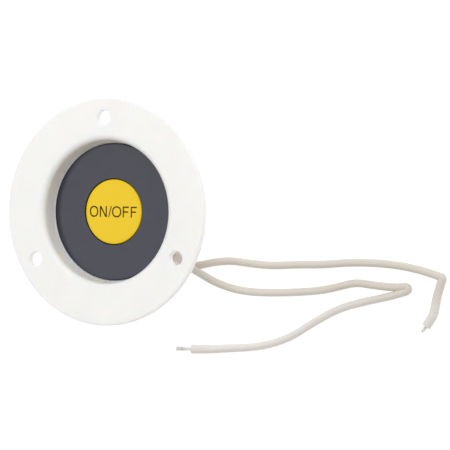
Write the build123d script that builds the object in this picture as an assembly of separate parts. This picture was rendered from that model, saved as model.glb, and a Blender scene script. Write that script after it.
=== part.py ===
from build123d import *
from math import cos, pi, radians, sin, tan
import os

# Round flange-mount push-button switch with two flying leads.
# Millimetres. The switch lies on its flat rear cover: +Z is the way its face looks,
# +Y points to the screw hole over the legend, and the Z axis runs through the button.

# Mounting flange: a flat ring with a well that the switch face sits in
flange_radius = 44.45
flange_thickness = 2.5
flange_front = 27.0
flange_seat = flange_front - flange_thickness
flange_edge_round = 0.6
screw_circle_radius = 36.75
screw_hole_radius = 2.8
screw_hole_round = 0.4
screw_angles = (90, 210, 330)
well_mouth_radius = 28.05
well_foot_radius = 27.7
well_outer_radius = 29.9
well_mouth_round = 2.3
step_top = 19.3
pocket_radius = 27.1
ledge_top = 17.9
ledge_bottom = 16.6
ledge_radius = 24.0

# Switch face
face_top = 20.1
face_radius = 26.95
face_edge_round = 0.5
face_opening_round = 0.25
face_rim_bottom = 18.5
face_bottom = 17.4
face_spigot_radius = 23.7
face_screw_skin = 1.0
face_opening_radius = 12.95
gasket_inner_radius = 24.3
gasket_outer_radius = 26.9

# Button and plunger
button_radius = 12.7
button_top = 20.2
button_bottom = 15.9
button_wall = 1.5
button_top_wall = 1.4
button_edge_round = 0.4
button_inside = button_top - button_top_wall
hub_radius = 4.2
hub_bottom = 16.8
plunger_radius = 3.0
plunger_bottom = 11.9
clip_groove_radius = 2.4
clip_radius = 4.4
clip_low = 12.3
clip_high = 12.8
clip_mouth_half_width = 1.7
wiper_gap = 0.05
wiper_outer_radius = 18.0
wiper_boss_gap = 0.2

# Switch carrier
cup_inner_radius = 14.6
cup_outer_radius = 16.2
carrier_rim_radius = 25.8
carrier_rim_bottom = 15.2
cup_floor_bottom = 13.0
cup_floor_top = 14.2
plunger_bore_radius = plunger_radius + 0.08
sleeve_inner_radius = 5.0
sleeve_outer_radius = 6.3
sleeve_bottom = 9.0
sleeve_slot_width = 1.2
sleeve_slot_top = 12.2
sleeve_slot_angles = (45, 135)
pillar_radius = 2.4
pillar_x = 12.5
pillar_y = 5.0
pillar_hole_top = 11.0
lead_notch_radius = 17.0
lead_notch_half_width = 7.0
carrier_screw_angles = (20, 140, 260)
carrier_screw_circle = 20.5
carrier_boss_radius = 2.2

# Push-push latch
rotor_radius = 4.5
rotor_bottom = 9.6
rotor_top = 11.0
rotor_bore_radius = 1.5
rotor_bore_top = 10.7
tooth_count = 8
tooth_height = 0.35
tooth_width_share = 0.8
tooth_inner_radius = 1.6
plunger_tooth_outer_radius = 2.9
rotor_tooth_outer_radius = 4.2

# Contacts and terminal base
base_radius = 17.5
base_bottom = 3.2
base_top = 4.6
guide_post_radius = 1.2
guide_post_top = 9.0
strip_thickness = 0.6
strip_top = base_top + strip_thickness
strip_width = 4.2
contact_x = 7.0
strip_corner_round = 1.2
strip_inner_y = 2.6
strip_tail = 3.0
fixed_tip_radius = 1.6
fixed_tip_height = 0.5
moving_tip_radius = 1.4
moving_tip_height = 0.5
tip_edge_round = 0.3
bridge_bottom = 7.3
bridge_top = 7.9
bridge_length = 17.4
bridge_width = 5.0
bridge_corner_round = 1.5
bridge_hole_radius = guide_post_radius + 0.08
near_terminal = (contact_x, -7.2)
far_terminal = (-contact_x, -12.3)

# Springs
return_spring_radius = 6.2
return_spring_wire = 0.3
return_spring_turns = 4
contact_spring_radius = 3.0
contact_spring_wire = 0.2
contact_spring_turns = 2
bridge_spring_radius = 2.0
bridge_spring_wire = 0.22
bridge_spring_turns = 4
spring_end_gap = 0.05

# Small screws: shank and head radius, head height, and the height of the tip
thread_gap = 0.05
screw_hole_gap = 0.15
carrier_screw_shank = 1.0
carrier_screw_head = 1.9
carrier_screw_head_height = 1.3
carrier_screw_tip = 18.9
base_screw_shank = 1.0
base_screw_head = 1.9
base_screw_head_height = 0.9
base_screw_tip = 10.5
terminal_screw_shank = 1.25
terminal_screw_head = 2.6
terminal_screw_head_height = 1.5
terminal_screw_tip = 3.3
cover_screw_shank = 1.2
cover_screw_head = 2.4
cover_screw_head_low = 0.2
cover_screw_tip = 10.0
screw_recess_depth_share = 0.6
screw_recess_long_share = 0.6
screw_recess_short_share = 0.15
screw_head_round_share = 0.3

# Housing and rear cover
housing_radius = 27.8
housing_wall = 1.8
housing_inner_radius = housing_radius - housing_wall
cover_thickness = 2.0
cover_seal_top = 2.5
cover_edge_round = 0.5
cover_boss_circle = 23.8
cover_boss_radius = 2.8
cover_boss_top = 12.0
cover_boss_setback = 0.5
cover_boss_hole_top = 10.5
cover_counterbore_top = 1.4
cover_counterbore_gap = 0.1
cover_seal_inset = 0.2
cover_seal_gap = 0.1
cover_screw_angles = (10, 130, 250)

# Leads, ring terminals and the grommet that both leads leave through
lead_radius = 1.5
conductor_radius = 0.62
grommet_angle = -37
grommet_height = 11.8
grommet_outer_face = 29.8
grommet_plate_face = 29.2
grommet_plate_round = 0.4
grommet_collar_radius = 2.15
grommet_inner_face = 24.6
grommet_neck_radius = 4.5
grommet_flange_radius = 5.5
grommet_flange_top = 16.4
hole_offset_side = 0.7
hole_offset_up = 2.1
ring_radius = 3.0
ring_hole_radius = 1.6
ring_thickness = 0.6
barrel_radius = 1.95
barrel_axis_height = 7.0
barrel_start = 4.2
barrel_end = 7.8
barrel_seat = 5.0
ring_neck_start = 2.4
ring_neck_end = 5.2
ring_neck_half_width = 1.3
mouth_run = 2.0
near_barrel_angle = grommet_angle
far_barrel_angle = -20
long_conductor_length = 7.3
short_conductor_length = 3.0
conductor_tip_round = 0.2
lead_arc_share = 0.45

# How far a cutting shape runs past the face that it cuts, and how close counts as the same place
past = 1.0
same = 0.01

outward = (cos(radians(grommet_angle)), sin(radians(grommet_angle)))
sideways = (-outward[1], outward[0])


def grommet_point(distance, side, height):
    """A point at a distance from the switch's axis, towards the grommet, and to its side."""
    x = outward[0] * distance + sideways[0] * side
    y = outward[1] * distance + sideways[1] * side
    return (x, y, height)


long_exit = grommet_point(grommet_outer_face, hole_offset_side, grommet_height + hole_offset_up)
short_exit = grommet_point(grommet_outer_face, -hole_offset_side, grommet_height - hole_offset_up)

# Routes of the two free leads, from the grommet's face to the end of the insulation
long_route = [
    long_exit,
    grommet_point(35.6, hole_offset_side, long_exit[2]),
    (34.1, -24.6, 11.2),
    (40.0, -28.7, 7.3),
    (47.6, -31.4, 3.1),
    (57.2, -32.1, 1.5),
    (70.2, -31.9, 1.5),
    (82.2, -31.1, 1.5),
    (90.2, -29.4, 1.5),
    (96.7, -27.8, 1.5),
    (103.6, -29.0, 1.5),
    (111.0, -29.5, 1.5),
    (118.7, -28.8, 1.5),
    (119.1, -33.7, 1.5),
    (110.8, -34.0, 1.5),
    (99.7, -35.4, 1.5),
    (89.2, -38.0, 1.5),
    (78.7, -43.2, 1.5),
    (67.2, -49.8, 1.5),
    (55.3, -53.0, 1.5),
    (41.8, -53.8, 1.5),
    (30.8, -54.4, 1.5),
    (24.7, -54.3, 1.5),
]
short_route = [
    short_exit,
    grommet_point(33.6, -hole_offset_side, short_exit[2]),
    (30.5, -21.7, 8.8),
    (36.7, -20.1, 5.6),
    (42.7, -19.5, 2.6),
    (50.1, -20.6, 1.5),
    (60.1, -21.6, 1.5),
    (71.6, -21.1, 1.5),
    (82.1, -21.2, 1.5),
    (93.1, -20.4, 1.5),
    (104.1, -20.5, 1.5),
    (114.1, -21.4, 1.5),
    (122.6, -22.7, 1.5),
    (127.4, -24.1, 1.5),
    (133.2, -25.6, 1.5),
    (131.4, -31.7, 1.5),
    (130.0, -36.5, 1.5),
    (128.9, -40.4, 1.5),
    (126.2, -44.4, 1.5),
]

# Routes of the same two leads inside the housing, from the grommet's face to the terminals
long_inner_route = [
    long_exit,
    grommet_point(22.0, hole_offset_side, long_exit[2]),
    (14.6, -12.2, 11.3),
    (9.0, -15.0, 9.8),
]
short_inner_route = [
    short_exit,
    grommet_point(22.6, -hole_offset_side, short_exit[2]),
]


def disc(radius, low, high, x=0, y=0):
    """An upright cylinder between two heights."""
    bottom_centre = (Align.CENTER, Align.CENTER, Align.MIN)
    return Pos(x, y, low) * Cylinder(radius, high - low, align=bottom_centre)


def ring(outer, inner, low, high, x=0, y=0):
    """An upright ring between two heights."""
    return disc(outer, low, high, x, y) - disc(inner, low - past, high + past, x, y)


def block(x_low, x_high, y_low, y_high, z_low, z_high):
    """A box between two corners."""
    corner = (Align.MIN, Align.MIN, Align.MIN)
    size = (x_high - x_low, y_high - y_low, z_high - z_low)
    return Pos(x_low, y_low, z_low) * Box(*size, align=corner)


def on_circle(radius, angle):
    """The x and y of a point on a circle round the switch's axis."""
    return radius * cos(radians(angle)), radius * sin(radians(angle))


def rod(radius, start, end):
    """A cylinder between two points."""
    path = Line(start, end)
    return sweep(Plane(origin=start, z_dir=path % 0) * Circle(radius), path=path)


def round_edges(shape, height, radius, size):
    """Round the circular edge of one radius at one height."""
    edges = []
    for edge in shape.edges().filter_by(GeomType.CIRCLE):
        on_axis = Vector(edge.arc_center.X, edge.arc_center.Y, 0).length < same
        if on_axis and abs(edge.radius - radius) < same and abs(edge.center().Z - height) < same:
            edges.append(edge)
    return fillet(edges, size)


def corner_radii(route):
    """The largest arc at each corner of a route that its two runs leave room for."""
    radii = []
    for before, corner, after in zip(route, route[1:], route[2:]):
        run_in = Vector(*corner) - Vector(*before)
        run_out = Vector(*after) - Vector(*corner)
        half_turn = radians(run_in.get_angle(run_out)) / 2
        radii.append(lead_arc_share * min(run_in.length, run_out.length) / tan(half_turn))
    return radii


def lead_tube(name, route):
    """A lead's insulation along a route of straight runs joined by tangent arcs."""
    radii = corner_radii(route)
    path = FilletPolyline(*route, radius=radii)
    tube = sweep(Plane(origin=route[0], z_dir=path % 0) * Circle(lead_radius), path=path)
    expected = pi * lead_radius ** 2 * path.length
    print(name, "length", round(path.length, 1), "radii", [round(r, 1) for r in radii])
    print(name, "volume", round(tube.volume, 2), "section times length", round(expected, 2))
    return tube


def coil_spring(radius, wire_radius, low, high, turns):
    """A compression spring between two seats."""
    bottom = low + spring_end_gap + wire_radius
    height = high - low - 2 * (spring_end_gap + wire_radius)
    path = Pos(0, 0, bottom) * Helix(pitch=height / turns, height=height, radius=radius)
    return sweep(Plane(origin=path @ 0, z_dir=path % 0) * Circle(wire_radius), path=path)


def pan_screw(x, y, head_low, head_high, tip, shank_radius, head_radius, driver_from_below):
    """A pan-head screw with a cross recess, its tip above or below the head."""
    head = disc(head_radius, head_low, head_high, x, y)
    head_height = head_high - head_low
    recess_depth = screw_recess_depth_share * head_height
    rims = head.edges().filter_by(GeomType.CIRCLE).sort_by(Axis.Z)
    if driver_from_below:
        shank = disc(shank_radius, head_high, tip, x, y)
        recess_low = head_low - past
        recess_high = head_low + recess_depth
        soft_edge = rims[0]
    else:
        shank = disc(shank_radius, tip, head_low, x, y)
        recess_low = head_high - recess_depth
        recess_high = head_high + past
        soft_edge = rims[-1]
    head = fillet(soft_edge, screw_head_round_share * head_height)
    long_half = screw_recess_long_share * head_radius
    short_half = screw_recess_short_share * head_radius
    slot_x = block(x - long_half, x + long_half, y - short_half, y + short_half,
                   recess_low, recess_high)
    slot_y = block(x - short_half, x + short_half, y - long_half, y + long_half,
                   recess_low, recess_high)
    return head + shank - slot_x - slot_y


def ratchet_teeth(inner, outer, base_height, tip_height):
    """A crown of saw teeth, rising or falling from a flat face."""
    width = tooth_width_share * 2 * pi * inner / tooth_count
    rise = tip_height - base_height
    profile_plane = Plane(origin=(inner, 0, base_height), x_dir=(0, 1, 0), z_dir=(1, 0, 0))
    profile = make_face(Polyline((-width / 2, 0), (width / 2, 0), (width / 2, rise), close=True))
    tooth = extrude(profile_plane * profile, outer - inner)
    teeth = []
    for index in range(tooth_count):
        teeth.append(Rot(0, 0, 360 * index / tooth_count) * tooth)
    return teeth


def make_mounting_flange():
    plate = disc(flange_radius, flange_seat, flange_front)
    plate = round_edges(plate, flange_seat, flange_radius, flange_edge_round)
    plate = round_edges(plate, flange_front, flange_radius, flange_edge_round)
    body = plate + disc(well_outer_radius, ledge_bottom, flange_seat)
    bottom_centre = (Align.CENTER, Align.CENTER, Align.MIN)
    body -= Pos(0, 0, step_top) * Cone(well_foot_radius, well_mouth_radius,
                                       flange_front - step_top, align=bottom_centre)
    body -= disc(pocket_radius, ledge_top, flange_front)
    body -= disc(ledge_radius, ledge_bottom - past, flange_front)
    body = round_edges(body, flange_front, well_mouth_radius, well_mouth_round)
    for angle in screw_angles:
        x, y = on_circle(screw_circle_radius, angle)
        body -= disc(screw_hole_radius, flange_seat - past, flange_front + past, x, y)
    rims = []
    for edge in body.edges().filter_by(GeomType.CIRCLE):
        if abs(edge.radius - screw_hole_radius) < same and abs(edge.center().Z - flange_front) < same:
            rims.append(edge)
    return fillet(rims, screw_hole_round)


def make_face_disc():
    body = disc(face_radius, face_rim_bottom, face_top)
    body += disc(face_spigot_radius, face_bottom, face_rim_bottom)
    for angle in carrier_screw_angles:
        x, y = on_circle(carrier_screw_circle, angle)
        body += disc(carrier_boss_radius, ledge_bottom, face_bottom, x, y)
        body -= disc(carrier_screw_shank + thread_gap, ledge_bottom - past,
                     face_top - face_screw_skin, x, y)
    body -= disc(face_opening_radius, face_bottom - past, face_top + past)
    body = round_edges(body, face_top, face_radius, face_edge_round)
    return round_edges(body, face_top, face_opening_radius, face_opening_round)


def make_face_gasket():
    return ring(gasket_outer_radius, gasket_inner_radius, ledge_top, face_rim_bottom)


def make_button_cap():
    body = disc(button_radius, button_bottom, button_top)
    body = round_edges(body, button_top, button_radius, button_edge_round)
    body -= disc(button_radius - button_wall, button_bottom - past, button_inside)
    body += disc(hub_radius, hub_bottom, button_inside)
    return body - disc(plunger_radius, hub_bottom - past, button_inside)


def make_button_wiper_seal():
    flat = ring(wiper_outer_radius, button_radius + wiper_gap, ledge_bottom, face_bottom)
    for angle in carrier_screw_angles:
        x, y = on_circle(carrier_screw_circle, angle)
        flat -= disc(carrier_boss_radius + wiper_boss_gap, ledge_bottom - past, face_bottom + past, x, y)
    return flat


def make_plunger():
    stem = disc(plunger_radius, plunger_bottom, button_inside)
    stem -= ring(plunger_radius + past, clip_groove_radius, clip_low, clip_high)
    for tooth in ratchet_teeth(tooth_inner_radius, plunger_tooth_outer_radius,
                               plunger_bottom, plunger_bottom - tooth_height):
        stem += tooth
    return stem


def make_plunger_clip():
    clip = ring(clip_radius, clip_groove_radius, clip_low, clip_high)
    return clip - block(0, clip_radius + past, -clip_mouth_half_width, clip_mouth_half_width,
                        clip_low - past, clip_high + past)


def make_button_return_spring():
    return coil_spring(return_spring_radius, return_spring_wire, cup_floor_top, button_inside,
                       return_spring_turns)


def make_switch_carrier():
    body = ring(carrier_rim_radius, cup_inner_radius, carrier_rim_bottom, ledge_bottom)
    body += ring(cup_outer_radius, cup_inner_radius, cup_floor_bottom, ledge_bottom)
    body += disc(cup_outer_radius, cup_floor_bottom, cup_floor_top)
    body += ring(sleeve_outer_radius, sleeve_inner_radius, sleeve_bottom, cup_floor_bottom)
    for x in (-pillar_x, pillar_x):
        body += disc(pillar_radius, base_top, cup_floor_bottom, x, pillar_y)
        body -= disc(base_screw_shank + thread_gap, base_top - past, pillar_hole_top, x, pillar_y)
    for angle in carrier_screw_angles:
        x, y = on_circle(carrier_screw_circle, angle)
        body -= disc(carrier_screw_shank + screw_hole_gap, carrier_rim_bottom - past,
                     ledge_bottom + past, x, y)
    half_slot = sleeve_slot_width / 2
    slot_end = sleeve_outer_radius + past
    for turn in sleeve_slot_angles:
        slot = block(-slot_end, slot_end, -half_slot, half_slot, sleeve_bottom - past, sleeve_slot_top)
        body -= Rot(0, 0, turn) * slot
    body -= disc(plunger_bore_radius, cup_floor_bottom - past, cup_floor_top + past)
    lead_notch = block(lead_notch_radius, carrier_rim_radius + past, -lead_notch_half_width,
                       lead_notch_half_width, carrier_rim_bottom - past, ledge_bottom + past)
    return body - Rot(0, 0, grommet_angle) * lead_notch


def make_carrier_screws():
    screws = []
    head_low = carrier_rim_bottom - carrier_screw_head_height
    for angle in carrier_screw_angles:
        x, y = on_circle(carrier_screw_circle, angle)
        screws.append(pan_screw(x, y, head_low, carrier_rim_bottom, carrier_screw_tip,
                                carrier_screw_shank, carrier_screw_head, True))
    return Compound(children=screws)


def make_latch_rotor():
    rotor = disc(rotor_radius, rotor_bottom, rotor_top)
    rotor -= disc(rotor_bore_radius, rotor_bottom - past, rotor_bore_top)
    for tooth in ratchet_teeth(tooth_inner_radius, rotor_tooth_outer_radius,
                               rotor_top, rotor_top + tooth_height):
        rotor += tooth
    return rotor


def make_contact_spring():
    return coil_spring(contact_spring_radius, contact_spring_wire, bridge_top, rotor_bottom,
                       contact_spring_turns)


def make_contact_bridge():
    half_length = bridge_length / 2
    half_width = bridge_width / 2
    bar = block(-half_length, half_length, -half_width, half_width, bridge_bottom, bridge_top)
    bar = fillet(bar.edges().filter_by(Axis.Z), bridge_corner_round)
    return bar - disc(bridge_hole_radius, bridge_bottom - past, bridge_top + past)


def make_moving_contact_tips():
    tips = []
    for x in (-contact_x, contact_x):
        tip = disc(moving_tip_radius, bridge_bottom - moving_tip_height, bridge_bottom, x, 0)
        lowest_edge = tip.edges().filter_by(GeomType.CIRCLE).sort_by(Axis.Z)[0]
        tips.append(fillet(lowest_edge, tip_edge_round))
    return Compound(children=tips)


def make_bridge_return_spring():
    return coil_spring(bridge_spring_radius, bridge_spring_wire, base_top, bridge_bottom,
                       bridge_spring_turns)


def make_terminal_base():
    body = disc(base_radius, base_bottom, base_top)
    body += disc(guide_post_radius, base_top, guide_post_top)
    for x in (-pillar_x, pillar_x):
        body -= disc(base_screw_shank + screw_hole_gap, base_bottom - past, base_top + past, x, pillar_y)
    for x, y in (near_terminal, far_terminal):
        body -= disc(terminal_screw_shank + thread_gap, base_bottom - past, base_top + past, x, y)
    return body


def make_base_screws():
    screws = []
    for x in (-pillar_x, pillar_x):
        screws.append(pan_screw(x, pillar_y, base_bottom - base_screw_head_height, base_bottom,
                                base_screw_tip, base_screw_shank, base_screw_head, True))
    return Compound(children=screws)


def make_terminal_strip(terminal):
    x, y = terminal
    half_width = strip_width / 2
    strip = block(x - half_width, x + half_width, y - strip_tail, strip_inner_y, base_top, strip_top)
    strip = fillet(strip.edges().filter_by(Axis.Z), strip_corner_round)
    return strip - disc(terminal_screw_shank + screw_hole_gap, base_top - past, strip_top + past, x, y)


def make_fixed_contact_tips():
    tips = []
    for x in (-contact_x, contact_x):
        tip = disc(fixed_tip_radius, strip_top, strip_top + fixed_tip_height, x, 0)
        highest_edge = tip.edges().filter_by(GeomType.CIRCLE).sort_by(Axis.Z)[-1]
        tips.append(fillet(highest_edge, tip_edge_round))
    return Compound(children=tips)


def make_terminal_screws():
    screws = []
    head_low = strip_top + ring_thickness
    head_high = head_low + terminal_screw_head_height
    for x, y in (near_terminal, far_terminal):
        screws.append(pan_screw(x, y, head_low, head_high, terminal_screw_tip,
                                terminal_screw_shank, terminal_screw_head, False))
    return Compound(children=screws)


def barrel_point(terminal, angle, distance):
    """A point on the axis of a ring terminal's crimp barrel."""
    x = terminal[0] + distance * cos(radians(angle))
    y = terminal[1] + distance * sin(radians(angle))
    return (x, y, barrel_axis_height)


def make_ring_terminal(terminal, angle):
    x, y = terminal
    low = strip_top
    high = strip_top + ring_thickness
    neck = block(ring_neck_start, ring_neck_end, -ring_neck_half_width, ring_neck_half_width, low, high)
    neck = Pos(x, y, 0) * Rot(0, 0, angle) * neck
    start = barrel_point(terminal, angle, barrel_start)
    end = barrel_point(terminal, angle, barrel_end)
    body = ring(ring_radius, ring_hole_radius, low, high, x, y) + neck + rod(barrel_radius, start, end)
    wire_start = barrel_point(terminal, angle, barrel_seat)
    wire_end = barrel_point(terminal, angle, barrel_end + past)
    return body - rod(lead_radius, wire_start, wire_end)


def inner_lead(name, route, terminal, angle):
    """The stretch of a lead inside the housing, from its grommet's face into its barrel."""
    mouth = barrel_point(terminal, angle, barrel_end + mouth_run)
    seat = barrel_point(terminal, angle, barrel_seat)
    return lead_tube(name, route + [mouth, seat])


def grommet_distance(point):
    """How far a point lies from the switch's axis, towards the grommet."""
    return round(outward[0] * point.X + outward[1] * point.Y, 3)


def make_lead_grommet():
    inner_point = grommet_point(grommet_inner_face, 0, grommet_height)
    plate_point = grommet_point(grommet_plate_face, 0, grommet_height)
    outer_plate = rod(grommet_flange_radius, inner_point, plate_point)
    outer_plate &= disc(2 * housing_radius, 0, grommet_flange_top)
    rim = outer_plate.edges().group_by(lambda edge: grommet_distance(edge.center()))[-1]
    outer_plate = fillet(rim, grommet_plate_round) - disc(housing_radius, 0, flange_front)
    inner_end = grommet_point(housing_inner_radius, 0, grommet_height)
    inner_plate = rod(grommet_flange_radius, inner_point, inner_end)
    inner_plate &= disc(housing_inner_radius, 0, grommet_flange_top)
    body = outer_plate + inner_plate + rod(grommet_neck_radius, inner_point, plate_point)
    for side, height in ((hole_offset_side, long_exit[2]), (-hole_offset_side, short_exit[2])):
        inner = grommet_point(grommet_inner_face - past, side, height)
        seat = grommet_point(housing_radius, side, height)
        face = grommet_point(grommet_outer_face, side, height)
        outer = grommet_point(grommet_outer_face + past, side, height)
        body += rod(grommet_collar_radius, seat, face)
        body -= rod(lead_radius, inner, outer)
    return body


def make_rear_housing():
    body = ring(housing_radius, housing_inner_radius, cover_seal_top, ledge_bottom)
    for angle in cover_screw_angles:
        x, y = on_circle(cover_boss_circle, angle)
        boss = disc(cover_boss_radius, cover_seal_top, cover_boss_top, x, y)
        body += boss & disc(housing_radius - cover_boss_setback, cover_seal_top, cover_boss_top)
        body -= disc(cover_screw_shank + thread_gap, cover_seal_top - past, cover_boss_hole_top, x, y)
    inner = grommet_point(grommet_inner_face, 0, grommet_height)
    outer = grommet_point(housing_radius + past, 0, grommet_height)
    return body - rod(grommet_neck_radius, inner, outer)


def make_rear_cover_seal():
    seal = ring(housing_radius - cover_seal_inset, housing_inner_radius + cover_seal_gap,
                cover_thickness, cover_seal_top)
    for angle in cover_screw_angles:
        x, y = on_circle(cover_boss_circle, angle)
        pad = disc(cover_boss_radius, cover_thickness, cover_seal_top, x, y)
        seal += pad & disc(housing_radius - cover_boss_setback, cover_thickness, cover_seal_top)
        seal -= disc(cover_screw_shank + screw_hole_gap, cover_thickness - past,
                     cover_seal_top + past, x, y)
    return seal


def make_rear_cover():
    body = disc(housing_radius, 0, cover_thickness)
    body = round_edges(body, 0, housing_radius, cover_edge_round)
    for angle in cover_screw_angles:
        x, y = on_circle(cover_boss_circle, angle)
        body -= disc(cover_screw_shank + screw_hole_gap, -past, cover_thickness + past, x, y)
        body -= disc(cover_screw_head + cover_counterbore_gap, -past, cover_counterbore_top, x, y)
    return body


def make_rear_cover_screws():
    screws = []
    for angle in cover_screw_angles:
        x, y = on_circle(cover_boss_circle, angle)
        screws.append(pan_screw(x, y, cover_screw_head_low, cover_counterbore_top, cover_screw_tip,
                                cover_screw_shank, cover_screw_head, True))
    return Compound(children=screws)


def make_conductor(route, length):
    """The stripped end of a lead, straight on from the end of its insulation."""
    end = Vector(*route[-1])
    way = (end - Vector(*route[-2])).normalized()
    tip = end + way * length
    body = rod(conductor_radius, end, tip)
    rims = body.edges().filter_by(GeomType.CIRCLE).sort_by(lambda edge: (edge.center() - tip).length)
    return fillet(rims[0], conductor_tip_round)


nodes = {
    "mounting_flange": make_mounting_flange(),
    "face_disc": make_face_disc(),
    "face_gasket": make_face_gasket(),
    "button_cap": make_button_cap(),
    "button_wiper_seal": make_button_wiper_seal(),
    "plunger": make_plunger(),
    "plunger_clip": make_plunger_clip(),
    "button_return_spring": make_button_return_spring(),
    "switch_carrier": make_switch_carrier(),
    "carrier_screws": make_carrier_screws(),
    "latch_rotor": make_latch_rotor(),
    "contact_spring": make_contact_spring(),
    "contact_bridge": make_contact_bridge(),
    "moving_contact_tips": make_moving_contact_tips(),
    "bridge_return_spring": make_bridge_return_spring(),
    "terminal_base": make_terminal_base(),
    "base_screws": make_base_screws(),
    "terminal_strip_near": make_terminal_strip(near_terminal),
    "terminal_strip_far": make_terminal_strip(far_terminal),
    "fixed_contact_tips": make_fixed_contact_tips(),
    "terminal_screws": make_terminal_screws(),
    "ring_terminal_near": make_ring_terminal(near_terminal, near_barrel_angle),
    "ring_terminal_far": make_ring_terminal(far_terminal, far_barrel_angle),
    "inner_lead_long": inner_lead("inner_lead_long", long_inner_route, far_terminal,
                                  far_barrel_angle),
    "inner_lead_short": inner_lead("inner_lead_short", short_inner_route, near_terminal,
                                   near_barrel_angle),
    "lead_grommet": make_lead_grommet(),
    "rear_housing": make_rear_housing(),
    "rear_cover_seal": make_rear_cover_seal(),
    "rear_cover": make_rear_cover(),
    "rear_cover_screws": make_rear_cover_screws(),
    "lead_long": lead_tube("lead_long", long_route),
    "lead_short": lead_tube("lead_short", short_route),
    "conductor_long": make_conductor(long_route, long_conductor_length),
    "conductor_short": make_conductor(short_route, short_conductor_length),
}

os.makedirs("parts", exist_ok=True)
for name, shape in nodes.items():
    export_step(shape, f"parts/{name}.step")
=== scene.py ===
from math import cos, hypot, pi, radians, sin

import bpy
from mathutils import Matrix, Vector


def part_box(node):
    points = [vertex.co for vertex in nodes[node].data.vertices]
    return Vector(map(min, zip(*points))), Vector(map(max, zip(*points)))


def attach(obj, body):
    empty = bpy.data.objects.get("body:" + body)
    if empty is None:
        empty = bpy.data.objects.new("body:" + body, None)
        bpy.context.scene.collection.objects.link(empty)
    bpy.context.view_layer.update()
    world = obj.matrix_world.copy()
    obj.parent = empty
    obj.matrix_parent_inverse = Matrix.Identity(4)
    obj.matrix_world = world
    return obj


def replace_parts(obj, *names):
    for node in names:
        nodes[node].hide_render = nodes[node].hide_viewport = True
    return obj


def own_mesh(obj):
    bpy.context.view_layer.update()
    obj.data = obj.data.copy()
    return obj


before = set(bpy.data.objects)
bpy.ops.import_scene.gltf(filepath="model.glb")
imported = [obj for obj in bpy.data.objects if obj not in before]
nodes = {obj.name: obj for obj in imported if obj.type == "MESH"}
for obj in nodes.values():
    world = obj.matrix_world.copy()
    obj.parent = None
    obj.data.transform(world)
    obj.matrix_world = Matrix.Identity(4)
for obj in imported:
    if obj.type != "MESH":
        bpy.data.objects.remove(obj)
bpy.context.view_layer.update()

# A white flange-mount switch with a yellow push button, lying on its rear cover, and its two leads.
# Metres, in the CAD frame: +Z is the way the face looks, +Y points to the hole over the legend.

MM = 0.001
flange_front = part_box("mounting_flange")[1].z
button_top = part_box("button_cap")[1].z
button_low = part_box("button_cap")[0].z
button_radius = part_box("button_cap")[1].x


# ---------------------------------------------------------------- camera

camera_turn = radians(28.77)
camera_roll = radians(-0.50)
camera_lens = 240.0
camera_distance = 1.1712
camera_right = 0.047112
camera_up = -0.005175
camera_sensor = 36.0
camera_nearest = 0.05
camera_farthest = 20.0


def make_camera():
    """A long lens that looks at the face from its right."""
    back = Vector((sin(camera_turn), 0, cos(camera_turn)))
    level = Vector((cos(camera_turn), 0, -sin(camera_turn)))
    right = level * cos(camera_roll) + Vector((0, 1, 0)) * sin(camera_roll)
    up = back.cross(right)
    target = Vector((0, 0, flange_front))
    place = target + back * camera_distance + right * camera_right + up * camera_up
    data = bpy.data.cameras.new("camera")
    data.sensor_width = camera_sensor
    data.lens = camera_lens
    data.clip_start = camera_nearest
    data.clip_end = camera_farthest
    camera = bpy.data.objects.new("camera", data)
    turn = Matrix((right, up, back)).transposed().to_4x4()
    camera.matrix_world = Matrix.Translation(place) @ turn
    bpy.context.scene.collection.objects.link(camera)
    bpy.context.scene.camera = camera


# ---------------------------------------------------------------- routes of the two leads

lead_radius = 0.0015
conductor_radius = 0.00062
long_lead_length = 0.2025
short_lead_length = 0.1320
long_conductor_length = 0.0073
short_conductor_length = 0.0030

# The bare strands: how far they lie apart at the insulation and at the tip, and which way they bend
strand_count = 7
strand_steps = 24
strand_lay = 14 * MM
strand_hidden = 1.5 * MM
strand_opening = 1.7
long_strands = (0.75, 1.6, 0.0)
short_strands = (1.3, 0.9, 0.1)

# How finely the curves are drawn
lead_steps = 24
lead_bevel_steps = 8
strand_bevel_steps = 3

# How much thicker each lead gets over its last points, where its insulation was handled and cut
long_end_swelling = (1.02, 1.06, 1.14, 1.18)
short_end_swelling = (1.04, 1.06, 1.10, 1.14, 1.16, 1.18, 1.20, 1.20)

long_route = [
    (0.02422, -0.01738, 0.0139),
    (0.02885, -0.02087, 0.0139),
    (0.0341, -0.0246, 0.0112),
    (0.0400, -0.0287, 0.0073),
    (0.0476, -0.0314, 0.0031),
    (0.0572, -0.0321, 0.0015),
    (0.0702, -0.0319, 0.0015),
    (0.0822, -0.0311, 0.0015),
    (0.0902, -0.0294, 0.0015),
    (0.0967, -0.0280, 0.0015),
    (0.1036, -0.0290, 0.0015),
    (0.1110, -0.0298, 0.0015),
    (0.1157, -0.0298, 0.0015),
    (0.1185, -0.0295, 0.0015),
    (0.1188, -0.0312, 0.0015),
    (0.1153, -0.0321, 0.0015),
    (0.1105, -0.0334, 0.0015),
    (0.0997, -0.0354, 0.0015),
    (0.0892, -0.0380, 0.0015),
    (0.0787, -0.0432, 0.0015),
    (0.0672, -0.0498, 0.0015),
    (0.0553, -0.0530, 0.0015),
    (0.0418, -0.0538, 0.0015),
    (0.0308, -0.0544, 0.0015),
    (0.0247, -0.0543, 0.0015),
]
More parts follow.
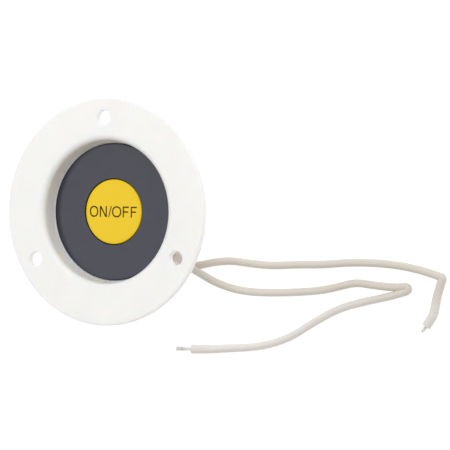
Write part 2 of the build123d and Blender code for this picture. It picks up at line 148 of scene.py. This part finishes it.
short_route = [
    (0.02338, -0.01849, 0.0097),
    (0.02641, -0.02078, 0.0097),
    (0.0305, -0.0217, 0.0088),
    (0.0367, -0.0201, 0.0056),
    (0.0427, -0.0195, 0.0026),
    (0.0501, -0.0206, 0.0015),
    (0.0601, -0.0216, 0.0015),
    (0.0716, -0.0211, 0.0015),
    (0.0821, -0.0212, 0.0015),
    (0.0931, -0.0204, 0.0015),
    (0.1041, -0.0205, 0.0015),
    (0.1141, -0.0214, 0.0015),
    (0.1226, -0.0230, 0.0015),
    (0.1275, -0.0244, 0.0015),
    (0.1318, -0.0257, 0.0015),
    (0.1331, -0.0261, 0.0015),
    (0.1326, -0.0277, 0.0015),
    (0.1306, -0.0335, 0.0015),
    (0.1298, -0.0380, 0.0015),
    (0.1291, -0.0402, 0.0015),
    (0.1281, -0.0418, 0.0015),
    (0.1262, -0.0444, 0.0015),
]


# ---------------------------------------------------------------- materials

def srgb(red, green, blue):
    """A colour given as display values from 0 to 255, as the linear colour that shaders take."""
    linear = []
    for value in (red, green, blue):
        share = value / 255
        linear.append(share / 12.92 if share <= 0.04045 else ((share + 0.055) / 1.055) ** 2.4)
    return (*linear, 1.0)


def shaded(colour, factor):
    """A linear colour made lighter or darker."""
    return (*(min(1.0, part * factor) for part in colour[:3]), 1.0)


# Noise stays mostly between these two values
noise_low = 0.3
noise_high = 0.7


class Shader:
    """A material under construction: a principled shader and the texture nodes that feed it."""

    def __init__(self, name, **values):
        self.material = bpy.data.materials.new(name)
        self.material.use_nodes = True
        self.tree = self.material.node_tree
        self.shader = self.tree.nodes["Principled BSDF"]
        for socket, value in values.items():
            self.shader.inputs[socket.replace("_", " ")].default_value = value
        self.place = self.tree.nodes.new("ShaderNodeTexCoord").outputs["Object"]

    def link(self, source, target):
        self.tree.links.new(source, target)

    def noise(self, cell, detail=3.0, stretch=(1, 1, 1)):
        """Smooth noise whose features are about one cell across, in metres."""
        mapping = self.tree.nodes.new("ShaderNodeMapping")
        mapping.inputs["Scale"].default_value = stretch
        texture = self.tree.nodes.new("ShaderNodeTexNoise")
        texture.inputs["Scale"].default_value = 1 / cell
        texture.inputs["Detail"].default_value = detail
        self.link(self.place, mapping.inputs["Vector"])
        self.link(mapping.outputs["Vector"], texture.inputs["Vector"])
        return texture.outputs["Fac"]

    def remap(self, value, low, high):
        """Noise spread from one value to another."""
        node = self.tree.nodes.new("ShaderNodeMapRange")
        node.inputs["From Min"].default_value = noise_low
        node.inputs["From Max"].default_value = noise_high
        node.inputs["To Min"].default_value = low
        node.inputs["To Max"].default_value = high
        self.link(value, node.inputs["Value"])
        return node.outputs["Result"]

    def blend(self, share, first, second):
        """A colour between two colours."""
        node = self.tree.nodes.new("ShaderNodeMix")
        node.data_type = "RGBA"
        self.link(share, node.inputs["Factor"])
        for socket, colour in (("A", first), ("B", second)):
            target = [s for s in node.inputs if s.name == socket and s.type == "RGBA"][0]
            if isinstance(colour, tuple):
                target.default_value = colour
            else:
                self.link(colour, target)
        return [s for s in node.outputs if s.type == "RGBA"][0]

    def colour(self, colour, spread, cell):
        """The base colour, mottled by a share of itself."""
        share = self.remap(self.noise(cell, detail=4.0), 0, 1)
        mottled = self.blend(share, shaded(colour, 1 - spread), shaded(colour, 1 + spread))
        self.link(mottled, self.shader.inputs["Base Color"])

    def gloss(self, low, high, cell):
        """Roughness that drifts between two values."""
        self.link(self.remap(self.noise(cell), low, high), self.shader.inputs["Roughness"])

    def bump(self, height, depth):
        """Relief of a depth, in metres."""
        node = self.tree.nodes.new("ShaderNodeBump")
        node.inputs["Strength"].default_value = 1.0
        node.inputs["Distance"].default_value = depth
        self.link(height, node.inputs["Height"])
        self.link(node.outputs["Normal"], self.shader.inputs["Normal"])


def moulded_plastic(name, colour, roughness, drift, grain, depth, **values):
    """Injection-moulded plastic: fine spark-eroded grain, faint flow mottling, satin gloss."""
    shader = Shader(name, **values)
    shader.colour(colour, spread=0.012, cell=12 * MM)
    shader.gloss(roughness - drift, roughness + drift, cell=4 * MM)
    shader.bump(shader.noise(grain, detail=2.0), depth)
    return shader.material


def rubber(name, colour, roughness):
    """Moulded rubber: matt, with a faint bloom."""
    shader = Shader(name, IOR=1.52)
    shader.colour(colour, spread=0.06, cell=3 * MM)
    shader.gloss(low=roughness - 0.08, high=roughness + 0.06, cell=2 * MM)
    shader.bump(shader.noise(cell=0.25 * MM, detail=4.0), depth=0.02 * MM)
    return shader.material


def metal(name, colour, roughness, grain, stretch=(1, 1, 1), metallic=1.0):
    """Bare or plated metal with fine drawing or tumbling marks."""
    shader = Shader(name, Metallic=metallic)
    shader.colour(colour, spread=0.05, cell=2 * MM)
    shader.gloss(low=roughness - 0.07, high=roughness + 0.09, cell=1.2 * MM)
    shader.bump(shader.noise(grain, stretch=stretch), depth=0.006 * MM)
    return shader.material


# Painted shade: the insulation turns from a darker colour nearer the switch to a lighter one between these two
# places along Y
shade_fade_start = -30 * MM
shade_fade_end = -40 * MM
handling_mark = (0.35, 0.31, 0.26, 1.0)


def insulation(name, shaded_colour, lit_colour):
    """Soft PVC insulation with painted shade: darker on the stretches nearer the switch, lighter towards the
    cut ends, with slight extrusion ripple.
    """
    shader = Shader(name, IOR=1.5)
    parts = shader.tree.nodes.new("ShaderNodeSeparateXYZ")
    shader.link(shader.place, parts.inputs["Vector"])
    lit_share = shader.tree.nodes.new("ShaderNodeMapRange")
    lit_share.inputs["From Min"].default_value = shade_fade_start
    lit_share.inputs["From Max"].default_value = shade_fade_end
    shader.link(parts.outputs["Y"], lit_share.inputs["Value"])
    # Painted shade: the darker colour on the stretches nearer the switch, the lighter one towards the cut ends
    base = shader.blend(lit_share.outputs["Result"], shaded_colour, lit_colour)
    mottle = shader.remap(shader.noise(cell=5 * MM, detail=4.0), low=0, high=0.04)
    shader.link(shader.blend(mottle, base, handling_mark), shader.shader.inputs["Base Color"])
    shader.gloss(low=0.42, high=0.55, cell=3 * MM)
    shader.bump(shader.noise(cell=0.9 * MM), depth=0.02 * MM)
    return shader.material


fibre_stretch = (1, 4, 1)


def phenolic(name, colour):
    """Pressed phenolic sheet: brown, with darker fibres."""
    shader = Shader(name, IOR=1.6)
    fibres = shader.remap(shader.noise(cell=1.5 * MM, detail=5.0, stretch=fibre_stretch), low=0, high=1)
    mixed = shader.blend(fibres, shaded(colour, factor=0.75), shaded(colour, factor=1.2))
    shader.link(mixed, shader.shader.inputs["Base Color"])
    shader.gloss(low=0.4, high=0.55, cell=2 * MM)
    shader.bump(shader.noise(cell=0.4 * MM, detail=4.0, stretch=fibre_stretch), depth=0.01 * MM)
    return shader.material


def printed_ink(name, colour):
    """Pad-printed ink: dense, slightly uneven and a little matt."""
    shader = Shader(name, IOR=1.48, Specular_IOR_Level=0.12)
    shader.colour(colour, spread=0.12, cell=0.6 * MM)
    shader.gloss(low=0.4, high=0.55, cell=0.5 * MM)
    shader.bump(shader.noise(cell=0.15 * MM, detail=2.0), depth=0.004 * MM)
    return shader.material


flange_white = moulded_plastic("flange_white", (0.895, 0.892, 0.888, 1),
                               roughness=0.42, drift=0.04, grain=0.35 * MM, depth=0.004 * MM,
                               Subsurface_Weight=0.75, Subsurface_Radius=(1.0, 0.8, 0.6),
                               Subsurface_Scale=3 * MM)
housing_white = moulded_plastic("housing_white", (0.83, 0.82, 0.79, 1),
                                roughness=0.5, drift=0.05, grain=0.4 * MM, depth=0.008 * MM)
face_grey = moulded_plastic("face_grey", srgb(31, 28, 46),
                            roughness=0.34, drift=0.012, grain=0.22 * MM, depth=0.008 * MM)
button_yellow = moulded_plastic("button_yellow", srgb(245, 206, 10),
                                roughness=0.36, drift=0.02, grain=0.3 * MM, depth=0.004 * MM,
                                Specular_IOR_Level=0.25)
nylon = moulded_plastic("nylon", srgb(226, 222, 208),
                        roughness=0.38, drift=0.05, grain=0.5 * MM, depth=0.006 * MM)
black_rubber = rubber("black_rubber", srgb(34, 34, 36), roughness=0.7)
gland_rubber = rubber("gland_rubber", srgb(236, 233, 226), roughness=0.55)
base_phenolic = phenolic("base_phenolic", srgb(112, 66, 36))
spring_steel = metal("spring_steel", srgb(198, 200, 204), roughness=0.28, grain=0.2 * MM)
screw_steel = metal("screw_steel", srgb(205, 207, 210), roughness=0.32, grain=0.3 * MM)
contact_brass = metal("contact_brass", srgb(222, 184, 104), roughness=0.3, grain=0.2 * MM, stretch=(1, 6, 1))
contact_silver = metal("contact_silver", srgb(236, 234, 228), roughness=0.25, grain=0.2 * MM)
tinned_terminal = metal("tinned_terminal", srgb(206, 206, 202), roughness=0.4, grain=0.3 * MM)
tinned_conductor = metal("tinned_conductor", srgb(240, 239, 234), roughness=0.5, grain=0.15 * MM, metallic=0.6)
# The first colour is the painted-shade colour nearer the switch, the second the lighter colour towards the cut
# ends
lead_insulation = insulation("lead_insulation", srgb(219, 211, 200), srgb(232, 227, 221))
legend_ink = printed_ink("legend_ink", srgb(66, 40, 10))

node_materials = {
    "mounting_flange": flange_white,
    "face_disc": face_grey,
    "face_gasket": black_rubber,
    "button_wiper_seal": black_rubber,
    "plunger": nylon,
    "plunger_clip": spring_steel,
    "switch_carrier": nylon,
    "carrier_screws": screw_steel,
    "latch_rotor": nylon,
    "contact_bridge": contact_brass,
    "moving_contact_tips": contact_silver,
    "terminal_base": base_phenolic,
    "base_screws": screw_steel,
    "terminal_strip_near": contact_brass,
    "terminal_strip_far": contact_brass,
    "fixed_contact_tips": contact_silver,
    "terminal_screws": screw_steel,
    "ring_terminal_near": tinned_terminal,
    "ring_terminal_far": tinned_terminal,
    "inner_lead_long": lead_insulation,
    "inner_lead_short": lead_insulation,
    "lead_grommet": gland_rubber,
    "rear_housing": housing_white,
    "rear_cover_seal": black_rubber,
    "rear_cover": housing_white,
    "rear_cover_screws": screw_steel,
}


def finish_cad_nodes():
    """Gives its material to every CAD node that no other piece stands for."""
    for name, material in node_materials.items():
        mesh = nodes[name].data
        mesh.materials.clear()
        mesh.materials.append(material)


# ---------------------------------------------------------------- making pieces

def add_piece(name, data, material, body):
    """A new piece with its material, riding on a CAD body."""
    piece = bpy.data.objects.new(name, data)
    bpy.context.scene.collection.objects.link(piece)
    data.materials.clear()
    data.materials.append(material)
    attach(piece, body)
    return piece


def make_mesh(name, points, faces, smooth=True):
    """A mesh from its points and faces, shaded smooth or flat."""
    mesh = bpy.data.meshes.new(name)
    mesh.from_pydata(points, [], faces)
    mesh.update()
    if smooth:
        mesh.shade_smooth()
    return mesh


def arc(centre, radius, start, end, steps):
    """Points of an arc in the plane of a profile, angles in degrees."""
    points = []
    for index in range(steps + 1):
        angle = radians(start + (end - start) * index / steps)
        points.append((centre[0] + radius * cos(angle), centre[1] + radius * sin(angle)))
    return points


axis_tolerance = 1e-9


def lathe(name, profile, segments):
    """A closed profile of radius and height turned round the Z axis. It may touch the axis."""
    points, rings = [], []
    for radius, height in profile:
        if radius < axis_tolerance:
            points.append((0, 0, height))
            rings.append([len(points) - 1] * segments)
            continue
        first = len(points)
        for index in range(segments):
            angle = 2 * pi * index / segments
            points.append((radius * cos(angle), radius * sin(angle), height))
        rings.append(list(range(first, first + segments)))
    faces = []
    for lower, upper in zip(rings, rings[1:] + rings[:1]):
        for index in range(segments):
            after = (index + 1) % segments
            corners = (lower[index], lower[after], upper[after], upper[index])
            face = list(dict.fromkeys(corners))
            if len(face) > 2:
                faces.append(face)
    return make_mesh(name, points, faces)


# ---------------------------------------------------------------- leads

def make_lead(name, route, swelling):
    """A lead's insulation: one smooth curve with the route's points as its control points."""
    curve = bpy.data.curves.new(name, "CURVE")
    curve.dimensions = "3D"
    curve.resolution_u = lead_steps
    curve.bevel_depth = lead_radius
    curve.bevel_resolution = lead_bevel_steps
    curve.use_fill_caps = True
    spline = curve.splines.new("NURBS")
    spline.points.add(len(route) - 1)
    swollen = len(route) - len(swelling)
    for index, (point, place) in enumerate(zip(spline.points, route)):
        point.radius = swelling[index - swollen] if index >= swollen else 1.0
        x, y, z = place
        point.co = (x, y, z + (point.radius - 1) * lead_radius, 1.0)
    spline.order_u = 3
    spline.use_endpoint_u = True
    return curve


def make_conductor(name, route, length, start_spread, end_spread, turn):
    """A bundle of tinned strands on from the end of the insulation, which fans out towards its tip."""
    end = Vector(route[-1])
    way = (end - Vector(route[-2])).normalized()
    across = way.cross(Vector((0, 0, 1))).normalized()
    upward = across.cross(way)
    way = way * cos(turn) + across * sin(turn)
    strand_radius = conductor_radius / 3
    curve = bpy.data.curves.new(name, "CURVE")
    curve.dimensions = "3D"
    curve.bevel_depth = strand_radius
    curve.bevel_resolution = strand_bevel_steps
    curve.use_fill_caps = True
    for strand in range(strand_count):
        radius = 0 if strand == 0 else 2 * strand_radius
        spline = curve.splines.new("POLY")
        spline.points.add(strand_steps)
        for index in range(strand_steps + 1):
            along = -strand_hidden + (length + strand_hidden) * index / strand_steps
            angle = 2 * pi * (strand / (strand_count - 1) + along / strand_lay)
            share = min(1.0, max(0.0, strand_opening * along / length))
            spread = start_spread + (end_spread - start_spread) * share ** 2
            offset = across * radius * spread * cos(angle) + upward * radius * min(spread, 1) * sin(angle)
            spline.points[index].co = (*(end + way * along + offset), 1.0)
        spline.use_smooth = True
    return curve


def make_leads():
    """Both leads, each with its bare conductor."""
    leads = (
        ("long", long_route, long_end_swelling, long_lead_length, long_conductor_length, long_strands),
        ("short", short_route, short_end_swelling, short_lead_length, short_conductor_length, short_strands),
    )
    for which, route, swelling, length, bare_length, strands in leads:
        lead = add_piece(f"{which}_lead", make_lead(f"{which}_lead", route, swelling),
                         lead_insulation, "housing")
        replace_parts(lead, f"lead_{which}")
        bundle = make_conductor(f"{which}_conductor", route, bare_length, *strands)
        bare = add_piece(f"{which}_conductor", bundle, tinned_conductor, "housing")
        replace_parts(bare, f"conductor_{which}")


# ---------------------------------------------------------------- springs

button_travel = 1.5 * MM
bridge_travel = 0.99 * MM
# node, how far its lower seat goes down, how far its upper seat goes down
spring_seats = (
    ("button_return_spring", 0.0, button_travel),
    ("contact_spring", bridge_travel, button_travel),
    ("bridge_return_spring", 0.0, bridge_travel),
)


def make_springs():
    """Copies of the coil springs, each with a mesh of its own."""
    for node, low_drop, high_drop in spring_seats:
        coil = add_piece(f"{node}_coil", nodes[node].data.copy(), spring_steel, "housing")
        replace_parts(coil, node)
        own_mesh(coil)


# ---------------------------------------------------------------- button and legend

button_crown = 0.15 * MM
button_lip_start = 11.0 * MM
button_lip_drop = 0.16 * MM
button_wall = 1.5 * MM
button_edge = 0.35 * MM
button_foot_round = 0.2 * MM
button_top_thickness = 1.4 * MM
button_inner_round = 0.3 * MM
button_rows = (0.2, 0.4, 0.6, 0.8, 0.86, 0.89, 0.92, 0.94, 0.96, 0.98)
button_segments = 160
socket_outer_radius = 4.2 * MM
socket_inner_radius = 3.0 * MM
socket_low = 16.8 * MM


def crown_height(x, y):
    """The height of the button's top over a point, inside its rounded edge."""
    radius = hypot(x, y)
    lip = max(0.0, radius - button_lip_start) / (button_radius - button_lip_start)
    return button_top - button_crown * (radius / button_radius) ** 2 - button_lip_drop * lip ** 2


def make_button():
    """The yellow cap: a slightly crowned top, a soft edge and a hollow underside."""
    flat = button_radius - button_edge
    profile = [(0, crown_height(0, 0))]
    for share in button_rows:
        profile.append((flat * share, crown_height(flat * share, 0)))
    edge_centre = (flat, crown_height(flat, 0) - button_edge)
    profile += arc(edge_centre, button_edge, start=90, end=0, steps=12)
    foot_centre = (button_radius - button_foot_round, button_low + button_foot_round)
    profile += arc(foot_centre, button_foot_round, start=0, end=-90, steps=4)
    inside = button_radius - button_wall
    ceiling = button_top - button_top_thickness
    profile += [(inside, button_low), (inside, ceiling - button_inner_round)]
    profile += [(inside - button_inner_round, ceiling), (socket_outer_radius, ceiling)]
    profile += [(socket_outer_radius, socket_low), (socket_inner_radius, socket_low)]
    profile += [(socket_inner_radius, ceiling), (0, ceiling)]
    mesh = lathe("yellow_button", profile, button_segments)
    return add_piece("yellow_button", mesh, button_yellow, "button")


letter_height = 4.3 * MM
stroke = 0.54 * MM
stroke_shares = (0, 0.25, 0.5, 0.75, 1)
oval_steps = 64
oval_overshoot = 0.04 * MM
oval_power = 0.92
n_slant_inset = 0.04 * MM
n_slant_width = 1.2
f_arm_height = 0.02 * MM
f_arm_cut = 0.25 * MM
legend_tilt = radians(-1.7)
ink_thickness = 0.025 * MM


def bar(x1, y1, x2, y2, width):
    """A straight stroke with square ends along its own width, as rows of paired points."""
    along = Vector((x2 - x1, y2 - y1))
    across = Vector((-along.y, along.x)).normalized() * width / 2
    rows = []
    for share in stroke_shares:
        middle = Vector((x1, y1)) + along * share
        rows.append((middle + across, middle - across))
    return rows, False


def slant(x1, x2, low, high, width):
    """A slanted stroke cut level at its top and bottom."""
    rows = []
    for share in stroke_shares:
        x = x1 + (x2 - x1) * share
        y = low + (high - low) * share
        rows.append((Vector((x - width / 2, y)), Vector((x + width / 2, y))))
    return rows, False


def letter_o(x, width):
    """An oval ring, a little squared like the round letters of a plain sans serif."""
    rows = []
    for index in range(oval_steps):
        angle = 2 * pi * index / oval_steps
        pair = []
        for inset in (0, stroke):
            half_width = width / 2 - inset
            half_height = letter_height / 2 + oval_overshoot - inset
            px = half_width * abs(cos(angle)) ** oval_power * (1 if cos(angle) >= 0 else -1)
            py = half_height * abs(sin(angle)) ** oval_power * (1 if sin(angle) >= 0 else -1)
            pair.append(Vector((x + px, py)))
        rows.append(tuple(pair))
    return rows, True


def letter_n(x, width):
    """Two stems and a slant."""
    half = letter_height / 2
    left = x - width / 2 + stroke / 2
    right = x + width / 2 - stroke / 2
    return [
        bar(left, -half, left, half, stroke),
        slant(left + n_slant_inset, right - n_slant_inset, half, -half, n_slant_width * stroke),
        bar(right, -half, right, half, stroke),
    ]


def letter_f(stem, arm_end):
    """A stem and two arms, the lower one shorter."""
    half = letter_height / 2
    top = half - stroke / 2
    return [
        bar(stem, -half, stem, half, stroke),
        bar(stem, top, arm_end, top, stroke),
        bar(stem, f_arm_height, arm_end - f_arm_cut, f_arm_height, stroke),
    ]


def make_legend():
    """The ON/OFF legend as raised ink, one closed solid for each stroke."""
    strokes = [letter_o(x=-8.85 * MM, width=3.9 * MM)]
    strokes += letter_n(x=-4.56 * MM, width=3.2 * MM)
    strokes.append(slant(x1=-2.10 * MM, x2=-0.90 * MM, low=-2.20 * MM, high=2.20 * MM, width=0.42 * MM))
    strokes.append(letter_o(x=1.55 * MM, width=4.2 * MM))
    strokes += letter_f(stem=4.57 * MM, arm_end=7.03 * MM)
    strokes += letter_f(stem=8.20 * MM, arm_end=10.60 * MM)
    points, faces = [], []
    for rows, closed in strokes:
        first = len(points)
        for pair in rows:
            for lift in (-ink_thickness, ink_thickness):
                for flat in pair:
                    x = flat.x * cos(legend_tilt) - flat.y * sin(legend_tilt)
                    y = flat.x * sin(legend_tilt) + flat.y * cos(legend_tilt)
                    points.append((x, y, crown_height(x, y) + lift))
        count = len(rows)
        for index in range(count if closed else count - 1):
            here = first + 4 * index
            there = first + 4 * ((index + 1) % count)
            for one, two in ((0, 1), (1, 3), (3, 2), (2, 0)):
                faces.append((here + one, here + two, there + two, there + one))
        if not closed:
            last = first + 4 * (count - 1)
            faces.append((first, first + 2, first + 3, first + 1))
            faces.append((last, last + 1, last + 3, last + 2))
    mesh = make_mesh("on_off_legend", points, faces, smooth=False)
    return add_piece("on_off_legend", mesh, legend_ink, "button")


# ---------------------------------------------------------------- floor and light

floor_half = 3.0
floor_drop = 0.05 * MM
floor_grey = 0.25
floor_glow = 0.84
floor_roughness = 0.9
surround_colour = (1.03, 1.0, 0.96, 1)
surround_strength = 0.515
softbox_distance = 1.5


def make_floor():
    """A plain pale light table, which glows a little so that shadows on it stay faint."""
    corners = []
    for x, y in ((-1, -1), (1, -1), (1, 1), (-1, 1)):
        corners.append((x * floor_half, y * floor_half, -floor_drop))
    mesh = make_mesh("floor", corners, [(0, 1, 2, 3)], smooth=False)
    shader = Shader("floor_pale", Roughness=floor_roughness)
    shader.shader.inputs["Base Color"].default_value = (floor_grey, floor_grey, floor_grey, 1)
    shader.shader.inputs["Emission Color"].default_value = (1, 1, 1, 1)
    shader.shader.inputs["Emission Strength"].default_value = floor_glow
    mesh.materials.append(shader.material)
    floor = bpy.data.objects.new("floor", mesh)
    bpy.context.scene.collection.objects.link(floor)


def make_softbox(name, azimuth, elevation, size, light, colour):
    """A square area light that faces the switch. Its light is what a face turned to it gets."""
    data = bpy.data.lights.new(name, "AREA")
    data.shape = "SQUARE"
    data.size = size
    data.energy = light * pi ** 2 * softbox_distance ** 2
    data.color = colour
    flat = cos(radians(elevation))
    way = Vector((flat * cos(radians(azimuth)), flat * sin(radians(azimuth)), sin(radians(elevation))))
    softbox = bpy.data.objects.new(name, data)
    softbox.location = way * softbox_distance
    softbox.rotation_mode = "QUATERNION"
    softbox.rotation_quaternion = way.to_track_quat("Z", "Y")
    bpy.context.scene.collection.objects.link(softbox)


def make_light():
    """A cool key from the upper right of the face in a warmer, even surround."""
    world = bpy.data.worlds.new("surround")
    world.use_nodes = True
    background = world.node_tree.nodes["Background"]
    background.inputs["Color"].default_value = surround_colour
    background.inputs["Strength"].default_value = surround_strength
    bpy.context.scene.world = world
    make_softbox("key", azimuth=64, elevation=52, size=1.2, light=0.475, colour=(0.97, 1.0, 1.03))
    make_softbox("overhead", azimuth=180, elevation=61, size=0.55, light=0.125, colour=(0.94, 1.0, 1.07))
    bpy.context.scene.view_settings.view_transform = "Standard"


make_camera()
make_leads()
finish_cad_nodes()
make_springs()
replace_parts(make_button(), "button_cap")
make_legend()
make_floor()
make_light()
